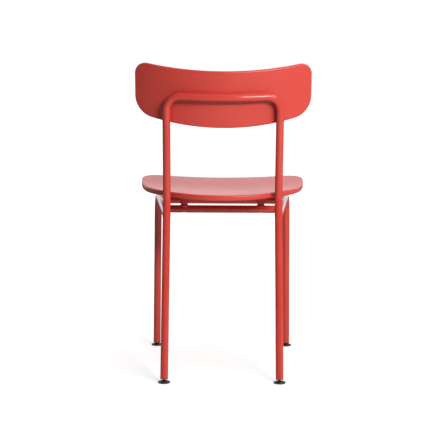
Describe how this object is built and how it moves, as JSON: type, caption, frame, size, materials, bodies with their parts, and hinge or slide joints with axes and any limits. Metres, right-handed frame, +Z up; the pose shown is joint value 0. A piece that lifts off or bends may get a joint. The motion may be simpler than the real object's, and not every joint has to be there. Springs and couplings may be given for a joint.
{
  "type": "side chair",
  "caption": "Side chair with a bent tube frame, a dished rounded seat and a curved backrest, standing on tilting floor glides.",
  "frame": {"origin": "on the floor, midway between the feet", "axes": "+Z up, the chair faces -Y, the sitter's left is +X"},
  "size_m": [0.4276, 0.44, 0.7748],
  "materials": {
    "red_tube": "semi-gloss powder coat on steel tube",
    "red_panel": "satin moulded",
    "red_trim": "satin moulded",
    "black_glide": "satin moulded",
    "screw_steel": "zinc plated",
    "insert_brass": "turned"
  },
  "bodies": {
    "frame": {"back_frame_tube": "red_tube", "front_leg_left": "red_tube", "front_leg_right": "red_tube", "rear_cross_rail": "red_tube", "mid_cross_rail": "red_tube", "seat_spacer_rear_left": "red_trim", "seat_spacer_rear_right": "red_trim", "seat_spacer_front_left": "red_trim", "seat_spacer_front_right": "red_trim", "seat_panel": "red_panel", "backrest_panel": "red_panel", "seat_screws": "screw_steel", "seat_inserts": "insert_brass", "back_screws": "screw_steel", "back_inserts": "insert_brass", "back_hole_plugs": "red_trim", "back_spacer_left": "red_trim", "back_spacer_right": "red_trim", "glide_insert_front_left": "black_glide", "glide_insert_front_right": "black_glide", "glide_insert_rear_left": "black_glide", "glide_insert_rear_right": "black_glide"},
    "pad_front_left": {"glide_pad_front_left": "black_glide"},
    "pad_front_right": {"glide_pad_front_right": "black_glide"},
    "pad_rear_left": {"glide_pad_rear_left": "black_glide"},
    "pad_rear_right": {"glide_pad_rear_right": "black_glide"}
  },
  "joints": [
    {"name": "front_left_pad_tilt", "type": "hinge", "parent": "frame", "child": "pad_front_left", "pos_m": [0.1765, -0.205, 0.0045], "axis": [1, 0, 0], "range_deg": [-10, 10]},
    {"name": "front_right_pad_tilt", "type": "hinge", "parent": "frame", "child": "pad_front_right", "pos_m": [-0.1765, -0.205, 0.0045], "axis": [1, 0, 0], "range_deg": [-10, 10]},
    {"name": "rear_left_pad_tilt", "type": "hinge", "parent": "frame", "child": "pad_rear_left", "pos_m": [0.141, 0.205, 0.0045], "axis": [1, 0, 0], "range_deg": [-10, 10]},
    {"name": "rear_right_pad_tilt", "type": "hinge", "parent": "frame", "child": "pad_rear_right", "pos_m": [-0.141, 0.205, 0.0045], "axis": [1, 0, 0], "range_deg": [-10, 10]}
  ]
}
